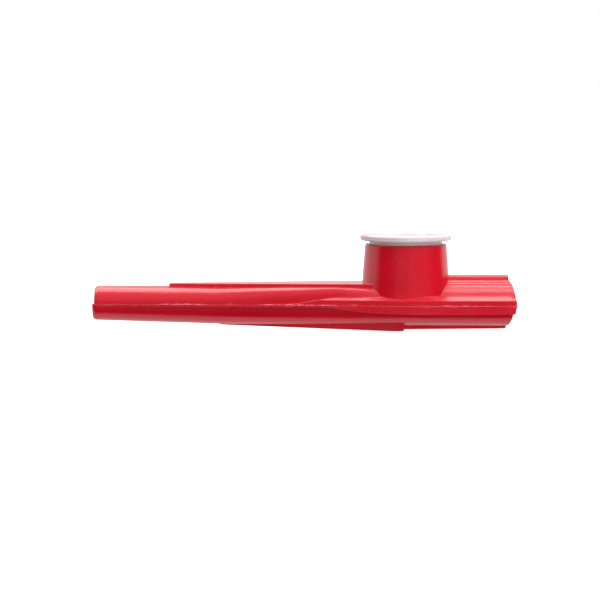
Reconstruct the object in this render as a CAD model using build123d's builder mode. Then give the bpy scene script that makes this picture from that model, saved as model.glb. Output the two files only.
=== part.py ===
"""A moulded plastic kazoo: two welded half shells, a buzzing membrane and a push-in cap.

Millimetres, +Z up. X runs along the air channel, from the narrow exit end at -X to the flat mouth end at
+X, and Y is the width. The origin is under the middle of the object, level with the lowest keel rib.
The seam is the plane where the two half shells meet.
"""
import os

from build123d import *

# Overall size. Heights and depths below are measured from the seam.
LENGTH = 120.0
EXIT_X = -LENGTH / 2
MOUTH_X = LENGTH / 2
SEAM_Z = 7.9
WALL = 1.25
OVERRUN = 2.0

# Exit end: a round tube whose upper half starts a little later than the lower half
EXIT_RADIUS = 4.85
EXIT_BORE_RADIUS = 3.2
EXIT_BORE_END_X = EXIT_X + 12.0
EXIT_ROUNDING = 1.1
UPPER_EXIT_X = EXIT_X + 0.55

# Plan outline of the seam: a straight taper, a flare up to the turret, then wings of nearly one width
FLARE_X = 8.9
FLARE_HALF_WIDTH = 9.6
FLARE_CONTROLS = ((17.9, 10.3), (22.0, 13.1))
WING_X = 30.0
WING_HALF_WIDTH = 13.25
MOUTH_HALF_WIDTH = 13.4
WING_CORNER_RADIUS = 2.5

# Wings: the upper half fades into the seam towards the exit end, the lower half into a thin flange
WING_RISE = 2.55
WING_RISE_CURVE = ((-8.0, 0.0), (1.0, 0.1), (5.0, WING_RISE), (16.0, WING_RISE))
WING_BEVEL_WIDTH = 1.8
WING_BEVEL_HEIGHT = 1.05
WING_BEVEL_ROUNDING = 0.5
WING_DEPTH = 2.35
FLANGE_DEPTH = 0.6
WING_DEPTH_CURVE = ((7.5, -0.6), (13.0, -1.75), (20.0, -2.35), (36.0, -2.35))
SLOT_START_X = 24.0
SLOT_HALF_WIDTH = 10.2
SLOT_RISE = 0.8
SLOT_DEPTH = 1.1

# Deck: a flat-topped wedge that widens from the tube to the turret
DECK_START_X = -38.2
DECK_START_HALF_WIDTH = 1.9
DECK_START_HEIGHT = 5.7
DECK_END_X = 22.0
DECK_END_HALF_WIDTH = 8.3
DECK_END_HEIGHT = 5.9
DECK_ROOT_HEIGHT = 3.5
DECK_EDGE_RADIUS = 0.3

# Turret: a drafted round tower that holds the membrane and the cap
TURRET_X = 28.9
TURRET_FOOT_HEIGHT = 1.4
TURRET_RIM_HEIGHT = 16.8
TURRET_RIM_RADIUS = 11.57
TURRET_DRAFT = 0.072
TURRET_RIM_ROUNDING = 0.35
TURRET_WALL = 1.5
BORE_RADIUS = 10.4
LEDGE_HEIGHT = 12.4
LEDGE_THICKNESS = 1.2
LEDGE_RADIUS = 8.6

# Mouth end: a fluted roof between the wings, with a ridge along its top
ROOF_START_X = 31.0
ROOF_FOOT = (9.8, 0.0)
ROOF_FLANK = (8.7, 2.6)
ROOF_EAVES = (6.2, 4.55)
FLUTE_EDGES = ((4.8, 5.3), (3.7, 5.95), (2.5, 6.6))
FLUTE_BULGE = 0.16
RIDGE_HALF_WIDTH = 2.2
RIDGE_TOP_HALF_WIDTH = 1.0
RIDGE_HEIGHT = 8.05
ROOF_CAVITY = (8.2, 5.6, 1.0, 0.35, 0.35)
UPPER_END_CURVE = ((58.0, 6.6), (59.2, 5.8), (59.5, 3.6), (MOUTH_X, 0.0))
LOWER_END_CURVE = ((MOUTH_X, 0.0), (59.2, -2.2), (59.1, -5.4), (57.4, -6.6))

# Keels under the trough: a wedge up to the turret, then a narrow rib. The wedge carries the object: its long
# straight run is in line with the underside of the exit end, so both touch what the object lies on.
KEEL_START_HALF_WIDTH = 1.0
KEEL_END_HALF_WIDTH = 3.1
KEEL_ROOT_DEPTH = 5.2
KEEL_OUTLINE = ((-24.0, -6.15), (-3.0, -6.89), (25.0, -SEAM_Z), (28.6, -SEAM_Z))
REAR_KEEL_HALF_WIDTH = 1.0
REAR_KEEL_OUTLINE = ((27.5, -7.5), (57.7, -7.25))
KEEL_END_ROUNDING = 0.9
KEEL_EDGE_RADIUS = 0.3

# Membrane and cap
MEMBRANE_RADIUS = 10.1
MEMBRANE_THICKNESS = 0.1
CLAMP_GAP = 0.1
CAP_SEAT_HEIGHT = 17.85
CAP_FLANGE_RADIUS = 12.93
CAP_FLANGE_THICKNESS = 1.6
CAP_FLANGE_ROUNDING = 0.45
CAP_SKIRT_RADIUS = 10.35
CAP_SKIRT_INNER_RADIUS = 9.1
CAP_SKIRT_LEAD_IN = 0.3
CAP_WINDOW_RADIUS = 7.0
CAP_DISH_DEPTH = 1.1

# Sizes of a half section: half width at the seam, and rise or depth from the seam. Then its shape: the end of
# the flank's tangent as shares of both, and the end of the top's tangent as a share of the half width.
# Shares of 1, 0.55 and 0.55 make a quarter ellipse.
EXIT_HALF = (EXIT_RADIUS, EXIT_RADIUS, 1.0, 0.55, 0.55)
ARCH_STATIONS = (
    (UPPER_EXIT_X, *EXIT_HALF),
    (-25.0, 7.05, 4.9, 1.0, 0.68, 0.72),
    (-4.0, 8.3, 5.3, 1.0, 0.85, 0.95),
    (FLARE_X, 8.1, 5.5, 1.02, 0.95, 1.07),
    (24.0, 12.0, 5.7, 0.825, 0.55, 0.91),
)
TROUGH_STATIONS = (
    (EXIT_X, *EXIT_HALF),
    (-20.0, 5.6, 6.1, 1.0, 0.6, 0.6),
    (FLARE_X, 6.0, 6.45, 1.0, 0.62, 0.62),
    (MOUTH_X, 6.3, 6.62, 1.0, 0.62, 0.62),
)
CHANNEL_START = (EXIT_BORE_END_X, 3.45, 3.45, 1.0, 0.55, 0.55)


def section_plane(x):
    """The plane across the body at x, with its origin on the seam."""
    return Plane(origin=(x, 0, SEAM_Z), x_dir=(0, 1, 0), z_dir=(1, 0, 0))


def side_plane(x=0):
    """The vertical mid plane, with its origin on the seam at x."""
    return Plane(origin=(x, 0, SEAM_Z), x_dir=(1, 0, 0), z_dir=(0, -1, 0))


def level(height):
    """The horizontal plane at a height from the seam."""
    return Plane.XY.offset(SEAM_Z + height)


def turret_radius(height):
    """Outer radius of the drafted turret at a height from the seam."""
    return TURRET_RIM_RADIUS + TURRET_DRAFT * (TURRET_RIM_HEIGHT - height)


def half_section(x, half_width, rise, flank_width, flank_rise, top_width):
    """A closed half section: two quarter curves over a straight base on the seam."""
    with BuildSketch(section_plane(x)) as section:
        with BuildLine():
            flank = (flank_width * half_width, flank_rise * rise)
            Bezier((half_width, 0), flank, (top_width * half_width, rise), (0, rise))
            mirror(about=Plane.YZ)
            Line((-half_width, 0), (half_width, 0))
        make_face()
    return section.sketch


def half_form(stations, sign):
    """A tapered half form through its stations, above the seam for sign 1 and below it for sign -1."""
    sections = [half_section(x, width, sign * rise, *shape) for x, width, rise, *shape in stations]
    with BuildPart() as form:
        loft(sections, ruled=True)
    return form.part


def half_cavity(stations, sign):
    """The channel inside a half form: its start behind the exit bore, then the stations less the wall."""
    inner = [(x, width - WALL, rise - WALL, *shape) for x, width, rise, *shape in stations[1:]]
    last_x, *last_size = inner[-1]
    overrun_station = (last_x + OVERRUN, *last_size)
    return half_form((CHANNEL_START, *inner, overrun_station), sign)


def plan_outline():
    """Outline of the seam seen from above."""
    with BuildSketch(level(0)) as outline:
        with BuildLine():
            taper = Line((EXIT_X, EXIT_RADIUS), (FLARE_X, FLARE_HALF_WIDTH))
            flare = Bezier(taper @ 1, *FLARE_CONTROLS, (WING_X, WING_HALF_WIDTH))
            side = Line(flare @ 1, (MOUTH_X - WING_CORNER_RADIUS, MOUTH_HALF_WIDTH))
            corner_end = (MOUTH_X, MOUTH_HALF_WIDTH - WING_CORNER_RADIUS)
            RadiusArc(side @ 1, corner_end, WING_CORNER_RADIUS)
            Line(corner_end, (MOUTH_X, 0))
            Line((EXIT_X, 0), taper @ 0)
            mirror(about=Plane.XZ)
        make_face()
    return outline.sketch


def slot_outline():
    """Outline of the flat slot between the wings, open at the mouth end."""
    with BuildSketch(level(0)) as outline:
        with Locations((SLOT_START_X, 0)):
            Rectangle(
                MOUTH_X + OVERRUN - SLOT_START_X,
                2 * SLOT_HALF_WIDTH,
                align=(Align.MIN, Align.CENTER),
            )
    return outline.sketch


def roof_section(x):
    """Section of the fluted roof: flank, three flutes and the raised ridge, then their mirror image."""
    edges = (ROOF_EAVES, *FLUTE_EDGES)
    with BuildSketch(section_plane(x)) as section:
        with BuildLine():
            Bezier(ROOF_FOOT, ROOF_FLANK, ROOF_EAVES)
            for lower, upper in zip(edges, edges[1:]):
                SagittaArc(lower, upper, -FLUTE_BULGE)
            ridge_shoulder = (RIDGE_HALF_WIDTH, RIDGE_HEIGHT)
            Bezier(edges[-1], ridge_shoulder, (RIDGE_TOP_HALF_WIDTH, RIDGE_HEIGHT), (0, RIDGE_HEIGHT))
            mirror(about=Plane.YZ)
            Line((-ROOF_FOOT[0], 0), ROOF_FOOT)
        make_face()
    return section.sketch


def end_trim(curve, height):
    """The space beyond the mouth end's curved profile, out to a height from the seam."""
    outside_x = MOUTH_X + OVERRUN
    with BuildPart() as trim:
        with BuildSketch(side_plane()):
            with BuildLine():
                profile = Bezier(*curve)
                far_end = profile @ 0 if height > 0 else profile @ 1
                seam_end = profile @ 1 if height > 0 else profile @ 0
                Polyline(far_end, (far_end.X, height), (outside_x, height), (outside_x, 0), seam_end)
            make_face()
        extrude(amount=MOUTH_HALF_WIDTH + OVERRUN, both=True)
    return trim.part


def wedge(outline, root, start_half_width, end_half_width):
    """A straight-sided wedge along X between a root height and an outline of x and height from the seam."""
    start_x = outline[0][0]
    end_x = outline[-1][0]
    with BuildPart() as form:
        with BuildSketch(side_plane()):
            with BuildLine():
                Polyline((start_x, root), *outline, (end_x, root), close=True)
            make_face()
        extrude(amount=max(start_half_width, end_half_width), both=True)
        with BuildSketch(level(0)):
            with BuildLine():
                Polyline(
                    (start_x, start_half_width),
                    (end_x, end_half_width),
                    (end_x, -end_half_width),
                    (start_x, -start_half_width),
                    close=True,
                )
            make_face()
        extrude(amount=SEAM_Z, both=True, mode=Mode.INTERSECT)
    return form


def keel(outline, start_half_width, end_half_width):
    """A wedge under the trough with a rounded end towards the mouth and rounded lower edges."""
    form = wedge(outline, -KEEL_ROOT_DEPTH, start_half_width, end_half_width)
    with BuildPart() as rib:
        add(form.part)
        end_corners = rib.edges().filter_by(Axis.Y).group_by(Axis.X)[-1]
        fillet(end_corners.sort_by(Axis.Z)[0], KEEL_END_ROUNDING)
        long_edges = rib.edges().filter_by(Axis.Y, reverse=True).filter_by(Axis.Z, reverse=True)
        root_height = SEAM_Z - KEEL_ROOT_DEPTH
        fillet(long_edges.filter_by(lambda edge: edge.center().Z < root_height), KEEL_EDGE_RADIUS)
    return rib.part


# The round bore of the exit end, shared by the two shells.
with BuildPart() as exit_bore:
    with BuildSketch(section_plane(EXIT_X - OVERRUN)):
        Circle(EXIT_BORE_RADIUS)
    extrude(amount=EXIT_BORE_END_X - EXIT_X + 2 * OVERRUN)

# ----------------------------------------------------------------------------------------------------
# Upper shell
# ----------------------------------------------------------------------------------------------------

with BuildPart() as upper_wing:
    add(plan_outline())
    extrude(amount=WING_RISE)
    top = upper_wing.faces().sort_by(Axis.Z)[-1]
    chamfer(top.edges(), WING_BEVEL_WIDTH, WING_BEVEL_HEIGHT, reference=top)
    fillet(upper_wing.faces().sort_by(Axis.Z)[-1].edges(), WING_BEVEL_ROUNDING)
    with BuildSketch(side_plane()):
        with BuildLine():
            ramp = Bezier(*WING_RISE_CURVE)
            Polyline(ramp @ 1, (MOUTH_X, WING_RISE), (MOUTH_X, 0), ramp @ 0)
        make_face()
    extrude(amount=MOUTH_HALF_WIDTH + OVERRUN, both=True, mode=Mode.INTERSECT)

with BuildPart() as deck:
    deck_outline = ((DECK_START_X, DECK_START_HEIGHT), (DECK_END_X, DECK_END_HEIGHT))
    add(wedge(deck_outline, DECK_ROOT_HEIGHT, DECK_START_HALF_WIDTH, DECK_END_HALF_WIDTH).part)
    fillet(deck.faces().sort_by(Axis.Z)[-1].edges(), DECK_EDGE_RADIUS)

with BuildPart() as turret:
    with BuildSketch(side_plane(TURRET_X)):
        with BuildLine():
            Polyline(
                (0, TURRET_FOOT_HEIGHT),
                (turret_radius(TURRET_FOOT_HEIGHT), TURRET_FOOT_HEIGHT),
                (TURRET_RIM_RADIUS, TURRET_RIM_HEIGHT),
                (0, TURRET_RIM_HEIGHT),
                close=True,
            )
        make_face()
    revolve(axis=Axis((TURRET_X, 0, 0), (0, 0, 1)))
    fillet(turret.edges().filter_by(GeomType.CIRCLE).sort_by(Axis.Z)[-1], TURRET_RIM_ROUNDING)

# Hollow of the turret: the chamber, the hole through the ledge and the bore for the cap.
with BuildPart() as turret_cavity:
    chamber_height = LEDGE_HEIGHT - LEDGE_THICKNESS
    with BuildSketch(side_plane(TURRET_X)):
        with BuildLine():
            Polyline(
                (0, 0),
                (turret_radius(0) - TURRET_WALL, 0),
                (turret_radius(chamber_height) - TURRET_WALL, chamber_height),
                (LEDGE_RADIUS, chamber_height),
                (LEDGE_RADIUS, LEDGE_HEIGHT),
                (BORE_RADIUS, LEDGE_HEIGHT),
                (BORE_RADIUS, TURRET_RIM_HEIGHT + OVERRUN),
                (0, TURRET_RIM_HEIGHT + OVERRUN),
                close=True,
            )
        make_face()
    revolve(axis=Axis((TURRET_X, 0, 0), (0, 0, 1)))

with BuildPart() as mouth_cavity:
    add(half_form(((TURRET_X, *ROOF_CAVITY), (MOUTH_X + OVERRUN, *ROOF_CAVITY)), 1))
    add(slot_outline())
    extrude(amount=SLOT_RISE)

with BuildPart() as upper_shell:
    add(half_form(ARCH_STATIONS, 1))
    exit_face = upper_shell.faces().sort_by(Axis.X)[0]
    fillet(exit_face.edges().filter_by(GeomType.LINE, reverse=True), EXIT_ROUNDING)
    loft([roof_section(ROOF_START_X), roof_section(MOUTH_X)])
    add(upper_wing.part)
    add(deck.part)
    add(turret.part)
    add(end_trim(UPPER_END_CURVE, RIDGE_HEIGHT), mode=Mode.SUBTRACT)
    add(exit_bore.part, mode=Mode.SUBTRACT)
    add(half_cavity(ARCH_STATIONS, 1), mode=Mode.SUBTRACT)
    add(turret_cavity.part, mode=Mode.SUBTRACT)
    add(mouth_cavity.part, mode=Mode.SUBTRACT)

# ----------------------------------------------------------------------------------------------------
# Lower shell
# ----------------------------------------------------------------------------------------------------

with BuildPart() as lower_wing:
    add(plan_outline())
    extrude(amount=-WING_DEPTH)
    with BuildSketch(side_plane()):
        with BuildLine():
            underside = Bezier(*WING_DEPTH_CURVE)
            Polyline(
                underside @ 1,
                (MOUTH_X, -WING_DEPTH),
                (MOUTH_X, 0),
                (EXIT_X + EXIT_ROUNDING, 0),
                (EXIT_X + EXIT_ROUNDING, -FLANGE_DEPTH),
                underside @ 0,
            )
        make_face()
    extrude(amount=MOUTH_HALF_WIDTH + OVERRUN, both=True, mode=Mode.INTERSECT)

with BuildPart() as lower_shell:
    add(half_form(TROUGH_STATIONS, -1))
    exit_face = lower_shell.faces().sort_by(Axis.X)[0]
    fillet(exit_face.edges().filter_by(GeomType.LINE, reverse=True), EXIT_ROUNDING)
    add(lower_wing.part)
    add(keel(KEEL_OUTLINE, KEEL_START_HALF_WIDTH, KEEL_END_HALF_WIDTH))
    add(keel(REAR_KEEL_OUTLINE, REAR_KEEL_HALF_WIDTH, REAR_KEEL_HALF_WIDTH))
    add(end_trim(LOWER_END_CURVE, -SEAM_Z), mode=Mode.SUBTRACT)
    add(exit_bore.part, mode=Mode.SUBTRACT)
    add(half_cavity(TROUGH_STATIONS, -1), mode=Mode.SUBTRACT)
    add(slot_outline())
    extrude(amount=-SLOT_DEPTH, mode=Mode.SUBTRACT)

# ----------------------------------------------------------------------------------------------------
# Membrane and cap
# ----------------------------------------------------------------------------------------------------

with BuildPart() as membrane:
    with BuildSketch(level(LEDGE_HEIGHT)):
        with Locations((TURRET_X, 0)):
            Circle(MEMBRANE_RADIUS)
    extrude(amount=MEMBRANE_THICKNESS)

with BuildPart() as cap:
    skirt_foot = LEDGE_HEIGHT + MEMBRANE_THICKNESS + CLAMP_GAP
    cap_top = CAP_SEAT_HEIGHT + CAP_FLANGE_THICKNESS
    with BuildSketch(side_plane(TURRET_X)):
        with BuildLine():
            Polyline(
                (CAP_SKIRT_INNER_RADIUS, skirt_foot),
                (CAP_SKIRT_RADIUS - CAP_SKIRT_LEAD_IN, skirt_foot),
                (CAP_SKIRT_RADIUS, skirt_foot + CAP_SKIRT_LEAD_IN),
                (CAP_SKIRT_RADIUS, CAP_SEAT_HEIGHT),
                (CAP_FLANGE_RADIUS, CAP_SEAT_HEIGHT),
                (CAP_FLANGE_RADIUS, cap_top),
                (CAP_WINDOW_RADIUS + CAP_DISH_DEPTH, cap_top),
                (CAP_WINDOW_RADIUS, cap_top - CAP_DISH_DEPTH),
                (CAP_WINDOW_RADIUS, CAP_SEAT_HEIGHT),
                (CAP_SKIRT_INNER_RADIUS, CAP_SEAT_HEIGHT),
                close=True,
            )
        make_face()
    revolve(axis=Axis((TURRET_X, 0, 0), (0, 0, 1)))
    flange_edges = cap.edges().filter_by(GeomType.CIRCLE).group_by(SortBy.RADIUS)[-1]
    fillet(flange_edges, CAP_FLANGE_ROUNDING)

# ----------------------------------------------------------------------------------------------------
# Files
# ----------------------------------------------------------------------------------------------------

upper_shell.part.label = "upper_shell"
lower_shell.part.label = "lower_shell"
membrane.part.label = "membrane"
cap.part.label = "cap"

os.makedirs("parts", exist_ok=True)
for piece in (upper_shell.part, lower_shell.part, membrane.part, cap.part):
    export_step(piece, f"parts/{piece.label}.step")
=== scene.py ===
"""A red plastic kazoo with a white push-in cap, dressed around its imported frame. Lengths are in metres."""
import math

import bmesh
import bpy
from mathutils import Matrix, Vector, noise
from mathutils.bvhtree import BVHTree


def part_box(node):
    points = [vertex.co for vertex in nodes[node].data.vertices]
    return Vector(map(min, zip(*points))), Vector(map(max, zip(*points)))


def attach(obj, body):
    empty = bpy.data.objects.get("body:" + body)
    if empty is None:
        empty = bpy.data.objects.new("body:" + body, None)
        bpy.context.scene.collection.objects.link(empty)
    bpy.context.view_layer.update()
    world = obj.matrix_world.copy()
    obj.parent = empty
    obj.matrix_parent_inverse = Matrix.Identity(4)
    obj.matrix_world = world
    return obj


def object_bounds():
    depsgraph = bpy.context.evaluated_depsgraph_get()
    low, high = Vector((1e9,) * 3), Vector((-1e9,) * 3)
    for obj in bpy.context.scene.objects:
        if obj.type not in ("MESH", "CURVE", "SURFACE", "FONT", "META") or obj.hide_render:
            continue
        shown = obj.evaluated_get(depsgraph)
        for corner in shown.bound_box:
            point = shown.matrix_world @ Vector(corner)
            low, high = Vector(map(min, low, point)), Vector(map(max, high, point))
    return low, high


MM = 0.001

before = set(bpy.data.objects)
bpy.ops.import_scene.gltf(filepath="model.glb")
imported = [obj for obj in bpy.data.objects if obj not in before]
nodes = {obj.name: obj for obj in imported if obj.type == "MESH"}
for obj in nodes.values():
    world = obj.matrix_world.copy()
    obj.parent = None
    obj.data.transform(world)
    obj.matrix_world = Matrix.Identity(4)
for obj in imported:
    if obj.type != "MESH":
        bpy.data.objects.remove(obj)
cad_low, cad_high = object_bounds()
SEAM_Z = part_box("lower_shell")[1].z
TURRET_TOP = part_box("upper_shell")[1].z
CAP_MIDDLE = (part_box("cap")[0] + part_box("cap")[1]) / 2
UPWARD = Vector((0, 0, 1))
WHITE = (1, 1, 1, 1)
BLACK = (0, 0, 0, 1)


# ----------------------------------------------------------------------------------------------------
# Shader building blocks
# ----------------------------------------------------------------------------------------------------

BEVEL_SAMPLES = 6
WAVE_SCALE = 20
SHARP_EDGE = (0.96, 0.80)


class Shader:
    """A material's or a world's node tree, with one short call for each kind of node used here."""

    def __init__(self, holder):
        holder.use_nodes = True
        self.holder = holder
        self.tree = holder.node_tree
        self.surface = self.tree.nodes.get("Principled BSDF")
        coordinates = self.node("ShaderNodeTexCoord")
        self.place = coordinates.outputs["Object"]
        self.direction = coordinates.outputs["Generated"]

    def plug(self, socket, value):
        """Links an output to a socket, or sets the socket to a plain value."""
        if isinstance(value, bpy.types.NodeSocket):
            self.tree.links.new(value, socket)
        else:
            socket.default_value = value

    def node(self, kind, **inputs):
        made = self.tree.nodes.new(kind)
        self.feed(made, **inputs)
        return made

    def feed(self, made, **inputs):
        for name, value in inputs.items():
            self.plug(made.inputs[name.replace("_", " ")], value)

    def operation(self, kind, name, values):
        """The Value output of a node that has an operation, with values for its inputs in order."""
        made = self.node(kind)
        made.operation = name
        for socket, value in zip(made.inputs, values):
            self.plug(socket, value)
        return made.outputs["Value"]

    def maths(self, name, *values):
        return self.operation("ShaderNodeMath", name, values)

    def dot(self, *vectors):
        return self.operation("ShaderNodeVectorMath", "DOT_PRODUCT", vectors)

    def axis(self, name, vector):
        """The X, Y or Z of a vector."""
        return self.node("ShaderNodeSeparateXYZ", Vector=vector).outputs[name]

    def stretched(self, *scale):
        """The object coordinates times a scale for each axis, so that a texture runs along one of them."""
        return self.node("ShaderNodeMapping", Vector=self.place, Scale=scale).outputs["Vector"]

    def noise(self, size, detail=2.0, roughness=0.5, place=None):
        """Noise from 0 to 1 whose features are about size metres across."""
        made = self.node("ShaderNodeTexNoise", Vector=place or self.place, Scale=1 / size)
        self.feed(made, Detail=detail, Roughness=roughness)
        return made.outputs["Fac"]

    def ramp(self, value, source, target=(0.0, 1.0), shape="LINEAR"):
        """Value taken from the source range onto the target range, and held outside it."""
        made = self.node("ShaderNodeMapRange", Value=value)
        made.interpolation_type = shape
        self.feed(made, From_Min=source[0], From_Max=source[1], To_Min=target[0], To_Max=target[1])
        return made.outputs["Result"]

    def mix(self, share, first, second):
        """A colour between two, each an output or an RGB triple."""
        made = self.node("ShaderNodeMix")
        made.data_type = "RGBA"
        self.plug(made.inputs["Factor"], share)
        colours = [socket for socket in made.inputs if socket.type == "RGBA"]
        for socket, value in zip(colours, (first, second)):
            self.plug(socket, (*value, 1.0) if isinstance(value, tuple) else value)
        return next(socket for socket in made.outputs if socket.type == "RGBA")

    def bump(self, height, distance, normal=None):
        """A normal bent by a height from 0 to 1 that stands for a distance in metres."""
        made = self.node("ShaderNodeBump", Height=height, Distance=distance)
        if normal:
            self.feed(made, Normal=normal)
        return made.outputs["Normal"]

    def rounded(self, radius):
        """The normal with every sharp edge rounded off to a radius."""
        made = self.node("ShaderNodeBevel", Radius=radius)
        made.samples = BEVEL_SAMPLES
        return made.outputs["Normal"]

    def edges(self, rounded):
        """1 on sharp edges and 0 away from them, from the normal that rounded gives."""
        true_normal = self.node("ShaderNodeNewGeometry").outputs["Normal"]
        return self.ramp(self.dot(rounded, true_normal), SHARP_EDGE)

    def rings(self, pitch):
        """Uneven rings around the cap's axis, a pitch apart."""
        centred = self.node("ShaderNodeMapping", Vector=self.place, Location=-CAP_MIDDLE).outputs["Vector"]
        wave = self.node("ShaderNodeTexWave", Vector=centred, Scale=1 / (pitch * WAVE_SCALE))
        wave.wave_type = "RINGS"
        wave.rings_direction = "Z"
        self.feed(wave, Distortion=0.6, Detail=2.0, Detail_Scale=0.5)
        return wave.outputs["Fac"]


# ----------------------------------------------------------------------------------------------------
# Materials. A span is the part of a noise's range that a ramp uses, and a gloss is a pair of roughnesses.
# ----------------------------------------------------------------------------------------------------

MIDDLE_SPAN = (0.3, 0.7)
NARROW_SPAN = (0.35, 0.65)
WIDE_SPAN = (0.2, 0.8)
UPPER_SPAN = (0.3, 0.8)
HIGH_SPAN = (0.45, 0.75)
FIBRE_SPAN = (0.45, 0.7)
SMUDGE_SPAN = (0.4, 0.7)
SCUFF_SPAN = (0.55, 0.68)
WEAR_AND_HIGHLIGHT_SPAN = (0.3, 0.6)

RED_IOR = 1.52
RED_DEEP = (0.50, 0.0004, 0.011)
RED_FLOWED = (0.57, 0.0008, 0.015)
RED_MOTTLED = (0.60, 0.004, 0.022)
RED_WORN_AND_HIGHLIT = (0.76, 0.18, 0.19)
RED_SCUFFED = (0.74, 0.16, 0.17)
RED_ROUNDING = 0.22 * MM
RED_GLOSS = (0.16, 0.26)
RED_MOTTLING = (0, 0.25)
RED_WEAR_AND_HIGHLIGHT = (0.35, 0.8)
RED_SMUDGE = (0.0, 0.07)
SCUFF_SHARE = 0.25
SCUFF_DULLING = 0.15
SCUFF_REACH = (0.6 * MM, 0.2 * MM)
SINK_DEPTH = 0.06 * MM
DRAG_DEPTH = 0.0006 * MM
PEEL_DEPTH = 0.001 * MM
SCUFF_DEPTH = 0.03 * MM

FLASH_THICK = (0.60, 0.03, 0.05)
FLASH_WHITENED_AND_HIGHLIT = (0.82, 0.24, 0.25)
FLASH_GLOSS = (0.25, 0.5)
FLASH_GRAIN_DEPTH = 0.05 * MM

CAP_IOR = 1.49
CAP_COLOURS = ((0.55, 0.52, 0.545), (0.60, 0.575, 0.595))
CAP_SKIRT_PAINTED_GLOW = (0.82, 0.755, 0.77)
CAP_SKIRT_GLOW_FADE = (TURRET_TOP + 1.4 * MM, TURRET_TOP + 0.2 * MM)
CAP_SKIRT_GLOW_SHARE = (0.0, 0.8)
CAP_GLOSS = (0.28, 0.42)
CAP_ROUNDING = 0.12 * MM
CAP_RING_PITCH = 0.35 * MM
CAP_RING_DEPTH = 0.004 * MM
CAP_WARP_DEPTH = 0.03 * MM
CAP_SPECK_DEPTH = 0.003 * MM
CAP_TRANSLUCENCY = 0.6
CAP_SCATTER = 3 * MM

FILM_COLOURS = ((0.62, 0.59, 0.50), (0.80, 0.77, 0.70))
FILM_FIBRE_COLOUR = (0.90, 0.88, 0.83)
FILM_FIBRE_SHARE = (0, 0.5)
FILM_GLOSS = (0.22, 0.45)
FILM_WRINKLE_DEPTH = 0.35 * MM
FILM_FIBRE_DEPTH = 0.02 * MM
FILM_TRANSMISSION = 0.35


def red_plastic():
    """Glossy moulded polystyrene: deep red, with faint flow marks, drag lines along X, soft sink waves,
    paler edges (partly wear, partly a painted highlight where edges catch the light) and scuffs where the
    flash was trimmed off the seam."""
    shader = Shader(bpy.data.materials.new("red_plastic"))
    flow = shader.noise(9 * MM, 3, place=shader.stretched(0.25, 1, 1))
    mottle = shader.noise(1.6 * MM, 4, 0.6)
    drag = shader.noise(0.35 * MM, 3, 0.6, place=shader.stretched(0.03, 1, 1))
    sink = shader.noise(7 * MM, 1, place=shader.stretched(0.35, 1, 1))
    peel = shader.noise(1.1 * MM, 1)
    scuff = shader.noise(0.9 * MM, 3, 0.6, place=shader.stretched(0.12, 1, 1))
    smudge = shader.noise(14 * MM, 3, 0.6)

    rounded = shader.rounded(RED_ROUNDING)
    # Sharp edges are painted paler: partly wear, partly a painted highlight standing in for the light the
    # edges catch.
    worn_and_edge_highlight = shader.maths("MULTIPLY", shader.edges(rounded), shader.ramp(mottle, WEAR_AND_HIGHLIGHT_SPAN, RED_WEAR_AND_HIGHLIGHT))
    scuffed = shader.maths("MULTIPLY", near_seam(shader), shader.ramp(scuff, SCUFF_SPAN))

    colour = shader.mix(shader.ramp(flow, MIDDLE_SPAN), RED_DEEP, RED_FLOWED)
    colour = shader.mix(shader.ramp(mottle, HIGH_SPAN, RED_MOTTLING), colour, RED_MOTTLED)
    colour = shader.mix(worn_and_edge_highlight, colour, RED_WORN_AND_HIGHLIT)
    colour = shader.mix(shader.maths("MULTIPLY", scuffed, SCUFF_SHARE), colour, RED_SCUFFED)
    smudged = shader.ramp(smudge, SMUDGE_SPAN, RED_SMUDGE)
    gloss = shader.maths("ADD", shader.ramp(drag, UPPER_SPAN, RED_GLOSS), smudged)
    gloss = shader.maths("MULTIPLY_ADD", shader.maths("MAXIMUM", worn_and_edge_highlight, scuffed), SCUFF_DULLING, gloss)

    normal = shader.bump(sink, SINK_DEPTH, rounded)
    normal = shader.bump(drag, DRAG_DEPTH, normal)
    normal = shader.bump(peel, PEEL_DEPTH, normal)
    normal = shader.bump(scuffed, SCUFF_DEPTH, normal)
    shader.feed(shader.surface, Base_Color=colour, Roughness=gloss, Normal=normal, IOR=RED_IOR)
    return shader.holder


def near_seam(shader):
    """1 on the seam, fading to 0 a little above and below it."""
    distance = shader.maths("ABSOLUTE", shader.maths("SUBTRACT", shader.axis("Z", shader.place), SEAM_Z))
    return shader.ramp(distance, SCUFF_REACH)


def flash_plastic():
    """The same plastic where it was squeezed out thin: duller, and paler, partly from stress whitening and
    partly a painted highlight for the light the seam's ridge catches.
    """
    shader = Shader(bpy.data.materials.new("flash_plastic"))
    grain = shader.noise(0.4 * MM, 3, 0.6)
    # The flash's paler colours are partly stress whitening and partly painted highlight.
    colour = shader.mix(shader.ramp(grain, NARROW_SPAN), FLASH_THICK, FLASH_WHITENED_AND_HIGHLIT)
    gloss = shader.ramp(grain, MIDDLE_SPAN, FLASH_GLOSS)
    normal = shader.bump(grain, FLASH_GRAIN_DEPTH)
    shader.feed(shader.surface, Base_Color=colour, Roughness=gloss, Normal=normal, IOR=RED_IOR)
    return shader.holder


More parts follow.
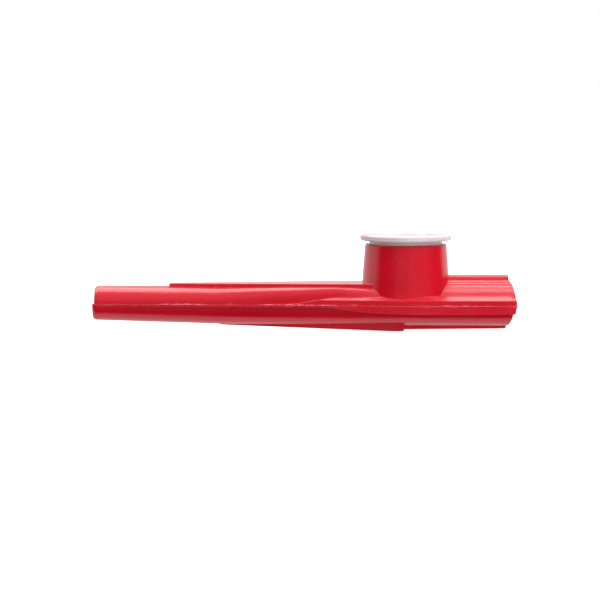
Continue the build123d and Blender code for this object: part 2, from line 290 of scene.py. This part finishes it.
def white_plastic():
    """Moulded white polypropylene: slightly translucent, with fine turning rings and handling marks. The
    skirt above the turret's rim
    is painted paler and pinker: painted light for the glow through the cap and the red rim's bounce, under
    the flange's shade."""
    shader = Shader(bpy.data.materials.new("white_plastic"))
    cloud = shader.noise(6 * MM, 3)
    speck = shader.noise(0.5 * MM, 4, 0.6)
    colour = shader.mix(shader.ramp(cloud, MIDDLE_SPAN), *CAP_COLOURS)
    # Painted light: the skirt just above the turret's rim is brightened and tinted pink, standing in for
    # light through the cap and bounce from the red rim.
    skirt_glow = shader.ramp(shader.axis("Z", shader.place), CAP_SKIRT_GLOW_FADE, CAP_SKIRT_GLOW_SHARE)
    colour = shader.mix(skirt_glow, colour, CAP_SKIRT_PAINTED_GLOW)
    gloss = shader.ramp(speck, UPPER_SPAN, CAP_GLOSS)
    normal = shader.bump(cloud, CAP_WARP_DEPTH, shader.rounded(CAP_ROUNDING))
    normal = shader.bump(shader.rings(CAP_RING_PITCH), CAP_RING_DEPTH, normal)
    normal = shader.bump(speck, CAP_SPECK_DEPTH, normal)
    shader.feed(shader.surface, Base_Color=colour, Roughness=gloss, Normal=normal, IOR=CAP_IOR)
    shader.feed(shader.surface, Subsurface_Weight=CAP_TRANSLUCENCY, Subsurface_Scale=CAP_SCATTER)
    return shader.holder


def waxed_film():
    """The membrane: thin milky film with fine wrinkles."""
    shader = Shader(bpy.data.materials.new("waxed_film"))
    wrinkle = shader.noise(1.8 * MM, 4, 0.6, place=shader.stretched(1, 0.35, 1))
    fibre = shader.noise(0.5 * MM, 3, 0.6, place=shader.stretched(0.2, 1, 1))
    cloud = shader.noise(4 * MM, 3)
    milky = shader.mix(shader.ramp(cloud, MIDDLE_SPAN), *FILM_COLOURS)
    colour = shader.mix(shader.ramp(fibre, FIBRE_SPAN, FILM_FIBRE_SHARE), milky, FILM_FIBRE_COLOUR)
    gloss = shader.ramp(wrinkle, WIDE_SPAN, FILM_GLOSS)
    normal = shader.bump(fibre, FILM_FIBRE_DEPTH, shader.bump(wrinkle, FILM_WRINKLE_DEPTH))
    shader.feed(shader.surface, Base_Color=colour, Roughness=gloss, Normal=normal)
    shader.feed(shader.surface, Transmission_Weight=FILM_TRANSMISSION)
    return shader.holder


def dress(node, material):
    """Puts a material on every slot of a CAD node."""
    for slot in nodes[node].material_slots:
        slot.material = material


# ----------------------------------------------------------------------------------------------------
# Moulding flash: the ragged beads that the weld squeezed out of the seam, and burrs on the turret's rim
# ----------------------------------------------------------------------------------------------------

RING_POINTS = 8
FLASH_STEP = 0.2 * MM
FLASH_OUT = 0.2 * MM
FLASH_UP = 0.24 * MM
FLASH_SINK = 0.04 * MM
FLASH_LIFT = 0.04 * MM
FLASH_WANDER = 0.12 * MM
FLASH_PROBE = 0.12 * MM
FLASH_MARGIN = 0.01 * MM
FLASH_MIDDLE_SIZE = 0.5
FLASH_COARSE_LENGTH = 2.3 * MM
FLASH_COARSE_SHARE = 0.9
FLASH_FINE_LENGTH = 0.5 * MM
FLASH_FINE_SHARE = 0.5
FLASH_WANDER_LENGTH = 1.7 * MM
FLASH_FINE_LAYER = 9
FLASH_WANDER_LAYER = 4
FLASH_TAPER = 6
FLASH_SPARE = 0.2
SMALLEST_FLASH = 0.12
LARGEST_FLASH = 1.2
SEAM_FLASH = {
    "front": (-1, ((-42.5, -26.5), (-14.5, 11.5), (35.5, 57.0))),
    "back": (1, ((-50.0, -33.0), (-22.0, -3.0), (6.0, 21.0), (38.0, 56.0))),
}
PROBE_START_Y = 0.05
BURR_PLACE_RADIUS = 11.2 * MM
BURR_OUT = 0.16 * MM
BURR_UP = 0.3 * MM
BURR_STEPS_PER_DEGREE = 3
BURR_GRAIN = 0.9 * MM
BURR_MIDDLE_SIZE = 0.7
BURR_SPREAD = 0.6
SMALLEST_BURR = 0.1
RIM_BURRS = ((-126, -120), (-97, -92), (-74, -68), (-58, -50), (20, 29), (64, 70), (110, 121), (160, 168))


def bead_mesh(name, spine, out, up):
    """Closed beads along a spine of (point, outward direction, size); a size of 0 breaks the bead."""
    shape = bmesh.new()
    rings = []
    for point, outward, size in [*spine, (None, None, 0.0)]:
        if size > 0:
            angles = [2 * math.pi * turn / RING_POINTS for turn in range(RING_POINTS)]
            offsets = [out * math.cos(angle) * outward + up * math.sin(angle) * UPWARD for angle in angles]
            rings.append([shape.verts.new(point + size * offset) for offset in offsets])
            continue
        for first, second in zip(rings, rings[1:]):
            for turn in range(RING_POINTS):
                following = (turn + 1) % RING_POINTS
                shape.faces.new((first[turn], second[turn], second[following], first[following]))
        if len(rings) > 1:
            shape.faces.new(rings[0])
            shape.faces.new(rings[-1][::-1])
        elif rings:
            bmesh.ops.delete(shape, geom=rings[0], context="VERTS")
        rings = []
    bmesh.ops.recalc_face_normals(shape, faces=shape.faces)
    for face in shape.faces:
        face.smooth = True
    mesh = bpy.data.meshes.new(name)
    shape.to_mesh(mesh)
    shape.free()
    return mesh


def ragged_bead(name, spine, out, up):
    """A piece made of the beads along a spine, which rides on the body."""
    mesh = bead_mesh(name, spine, out, up)
    mesh.materials.append(FLASH)
    made = bpy.data.objects.new(name, mesh)
    bpy.context.scene.collection.objects.link(made)
    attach(made, "body")


def shell_tree(node):
    """A search tree of a shell's faces, for finding its surface."""
    return BVHTree.FromObject(nodes[node], bpy.context.evaluated_depsgraph_get())


def surface_y(tree, x, side, z):
    """How far a shell reaches sideways at x and z, or 0 where it isn't there."""
    hit = tree.ray_cast(Vector((x, side * PROBE_START_Y, z)), Vector((0, -side, 0)))[0]
    return abs(hit.y) if hit else 0.0


def flash_size(x, side, share, outer):
    """The flash's size at x, a share of the way along its stretch, where the shells reach out to outer."""
    coarse = FLASH_COARSE_SHARE * noise.noise(Vector((x / FLASH_COARSE_LENGTH, side, 0)))
    fine = FLASH_FINE_SHARE * noise.noise(Vector((x / FLASH_FINE_LENGTH, side, FLASH_FINE_LAYER)))
    taper = min(1.0, FLASH_TAPER * share, FLASH_TAPER * (1 - share))
    size = taper * max(0.0, FLASH_MIDDLE_SIZE + coarse + fine)
    room = (cad_high.y - FLASH_MARGIN - outer) / FLASH_OUT + FLASH_SPARE
    size = min(size, LARGEST_FLASH, room)
    return size if size > SMALLEST_FLASH else 0.0


def seam_flash(name, side, stretches):
    """The flash along one side of the seam, thicker and thinner at random, with gaps."""
    trees = (shell_tree("upper_shell"), shell_tree("lower_shell"))
    heights = (SEAM_Z + FLASH_PROBE, SEAM_Z - FLASH_PROBE)
    spine = []
    for start, end in stretches:
        steps = int((end - start) * MM / FLASH_STEP)
        for step in range(steps):
            x = start * MM + step * FLASH_STEP
            outer = max(surface_y(tree, x, side, z) for tree, z in zip(trees, heights))
            rise = FLASH_WANDER * noise.noise(Vector((x / FLASH_WANDER_LENGTH, side, FLASH_WANDER_LAYER)))
            place = Vector((x, side * (outer - FLASH_SINK), SEAM_Z + FLASH_LIFT + rise))
            spine.append((place, Vector((0, side, 0)), flash_size(x, side, step / steps, outer)))
        spine.append((None, None, 0.0))
    ragged_bead(name, spine, FLASH_OUT, FLASH_UP)


def rim_burrs():
    """Short burrs that the mould left along the outer edge of the turret's rim."""
    tree = shell_tree("upper_shell")
    spine = []
    for start, end in RIM_BURRS:
        steps = BURR_STEPS_PER_DEGREE * (end - start)
        for step in range(steps + 1):
            angle = math.radians(start + (end - start) * step / steps)
            outward = Vector((math.cos(angle), math.sin(angle), 0))
            above = Vector((CAP_MIDDLE.x, CAP_MIDDLE.y, cad_high.z)) + outward * BURR_PLACE_RADIUS
            hit = tree.ray_cast(above, -UPWARD)[0]
            unevenness = BURR_MIDDLE_SIZE + BURR_SPREAD * noise.noise(above / BURR_GRAIN)
            size = math.sin(math.pi * step / steps) * unevenness
            spine.append((hit, outward, size if size > SMALLEST_BURR else 0.0))
        spine.append((None, None, 0.0))
    ragged_bead("rim_burrs", spine, BURR_OUT, BURR_UP)


RED = red_plastic()
FLASH = flash_plastic()
for flash_side, (flash_sign, flash_stretches) in SEAM_FLASH.items():
    seam_flash(f"seam_flash_{flash_side}", flash_sign, flash_stretches)
rim_burrs()
dress("upper_shell", RED)
dress("lower_shell", RED)
dress("cap", white_plastic())
dress("membrane", waxed_film())


# ----------------------------------------------------------------------------------------------------
# Studio. A span is the part of a direction's range that a ramp turns into a brightness.
# ----------------------------------------------------------------------------------------------------

FLOOR_SIZE = (12.0, 12.0)
FLOOR_GAP = 0.05 * MM
FLOOR_COLOUR = (0.8, 0.8, 0.8, 1)
FLOOR_ROUGHNESS = 0.9
FLOOR_GLOW = 0.85
TABLE_SIZE = (3.0, 2.1)
TABLE_DEPTH = 0.22
TABLE_FRONT_Y = -0.087
TABLE_RADIANCES = (1.2, 1.2)
SOFTBOX_SIZE = (1.4, 0.6)
SOFTBOX_HEIGHT = 0.6
SOFTBOX_FRONT_Y = -0.03
SOFTBOX_RADIANCES = (6.0, 3.0)
TOP_FILL_SIZE = (1.0, 1.0)
TOP_FILL_PLACE = Vector((0.35, -0.25, 1.0))
TOP_FILL_RADIANCE = 3.4
FRONT_FILL_SIZE = (2.4, 1.4)
FRONT_FILL_PLACE = Vector((0.36, -0.93, -0.02))
FRONT_FILL_RADIANCE = 1.0
POWER_PER_RADIANCE = 4
FRONT_SPAN = (0.0, 0.75)
FRONT_BRIGHTNESS = (0.02, 0.8)
WALL_TURN = -0.3
WALL_SPAN = (0.05, 0.32)
SIDE_SPAN = (0.0, 0.9)
SIDE_BRIGHTNESS = (0.0, 0.06)
LAMP_DIRECTION = (0.29, -0.955, 0.07)
LAMP_SPAN = (0.975, 0.999)
LAMP_BRIGHTNESS = (0.0, 0.14)
CAMERA_DISTANCE = 0.9
CAMERA_ELEVATION = math.radians(4.4)
CAMERA_AIM = Vector((-1.1 * MM, 0, SEAM_Z + 0.8 * MM))
CAMERA_LENS = 190
CAMERA_CLIP_START = 0.05


def sheet(name, size, place, aim):
    """A flat rectangle that belongs to the studio and faces aim."""
    x, y = size[0] / 2, size[1] / 2
    mesh = bpy.data.meshes.new(name)
    mesh.from_pydata([(-x, -y, 0), (x, -y, 0), (x, y, 0), (-x, y, 0)], [], [(0, 1, 2, 3)])
    made = bpy.data.objects.new(name, mesh)
    made.location = place
    made.rotation_euler = (Vector(aim) - Vector(place)).to_track_quat("Z", "Y").to_euler()
    bpy.context.scene.collection.objects.link(made)
    return made


def glowing_sheet(name, size, place, aim, radiances):
    """A glowing sheet that the camera doesn't see. Its radiance changes evenly from -X to +X."""
    made = sheet(name, size, place, aim)
    made.visible_camera = False
    shader = Shader(bpy.data.materials.new(name))
    shader.feed(shader.surface, Base_Color=BLACK, Specular_IOR_Level=0.0)
    across = shader.axis("X", shader.node("ShaderNodeNewGeometry").outputs["Position"])
    reach = size[0] / 2
    radiance = shader.ramp(across, (place[0] - reach, place[0] + reach), radiances)
    shader.feed(shader.surface, Emission_Color=WHITE, Emission_Strength=radiance)
    made.data.materials.append(shader.holder)
    return made


def fill_light(name, size, place, radiance):
    """A rectangular lamp aimed at the object that leaves hardly any highlight on it."""
    lamp = bpy.data.lights.new(name, "AREA")
    lamp.shape = "RECTANGLE"
    lamp.size, lamp.size_y = size
    lamp.energy = POWER_PER_RADIANCE * size[0] * size[1] * radiance
    made = bpy.data.objects.new(name, lamp)
    made.location = place
    made.rotation_euler = (CAMERA_AIM - place).to_track_quat("-Z", "Y").to_euler()
    made.visible_glossy = False
    bpy.context.scene.collection.objects.link(made)


def floor():
    """The pale floor that the object stands on. Only the camera sees it: the light table below does its
    lighting."""
    place = Vector((0, 0, cad_low.z - FLOOR_GAP))
    made = sheet("floor", FLOOR_SIZE, place, place + UPWARD)
    made.visible_diffuse = False
    made.visible_glossy = False
    made.visible_transmission = False
    made.visible_shadow = False
    shader = Shader(bpy.data.materials.new("pale_floor"))
    shader.feed(shader.surface, Base_Color=FLOOR_COLOUR, Roughness=FLOOR_ROUGHNESS)
    shader.feed(shader.surface, Emission_Color=WHITE, Emission_Strength=FLOOR_GLOW)
    made.data.materials.append(shader.holder)


def lights():
    """A light table below, a softbox above and just behind the object, and two soft fills from the front."""
    table = Vector((0, TABLE_FRONT_Y + TABLE_SIZE[1] / 2, -TABLE_DEPTH))
    glowing_sheet("light_table", TABLE_SIZE, table, table + UPWARD, TABLE_RADIANCES)
    over = Vector((0, SOFTBOX_FRONT_Y + SOFTBOX_SIZE[1] / 2, SOFTBOX_HEIGHT))
    softbox = glowing_sheet("softbox", SOFTBOX_SIZE, over, over - UPWARD, SOFTBOX_RADIANCES)
    softbox.visible_diffuse = False
    fill_light("top_fill", TOP_FILL_SIZE, TOP_FILL_PLACE, TOP_FILL_RADIANCE)
    fill_light("front_fill", FRONT_FILL_SIZE, FRONT_FILL_PLACE, FRONT_FILL_RADIANCE)


def surroundings():
    """White walls behind and beside the object, and a dark room in front that gets lighter upwards."""
    world = bpy.data.worlds.new("studio")
    shader = Shader(world)
    x, y, z = (shader.axis(name, shader.direction) for name in "XYZ")
    front = shader.ramp(z, FRONT_SPAN, FRONT_BRIGHTNESS, "SMOOTHSTEP")
    turned = shader.maths("MULTIPLY_ADD", x, WALL_TURN, y)
    behind = shader.ramp(turned, WALL_SPAN, shape="SMOOTHSTEP")
    nearness = shader.dot(shader.direction, LAMP_DIRECTION)
    lamp = shader.ramp(nearness, LAMP_SPAN, LAMP_BRIGHTNESS, "SMOOTHSTEP")
    side = shader.ramp(x, SIDE_SPAN, SIDE_BRIGHTNESS)
    room = shader.maths("ADD", shader.maths("MAXIMUM", front, behind), shader.maths("ADD", lamp, side))
    seen = shader.node("ShaderNodeLightPath").outputs["Is Camera Ray"]
    strength = shader.maths("MAXIMUM", room, seen)
    shader.feed(shader.tree.nodes["Background"], Color=WHITE, Strength=strength)
    bpy.context.scene.world = world


def camera():
    """The camera in front of the object, a little above it."""
    lens = bpy.data.cameras.new("camera")
    lens.lens = CAMERA_LENS
    lens.clip_start = CAMERA_CLIP_START
    made = bpy.data.objects.new("camera", lens)
    back = Vector((0, -math.cos(CAMERA_ELEVATION), math.sin(CAMERA_ELEVATION)))
    made.location = CAMERA_AIM + back * CAMERA_DISTANCE
    made.rotation_euler = (-back).to_track_quat("-Z", "Y").to_euler()
    bpy.context.scene.collection.objects.link(made)
    bpy.context.scene.camera = made


floor()
lights()
surroundings()
camera()
bpy.context.scene.view_settings.view_transform = "Standard"
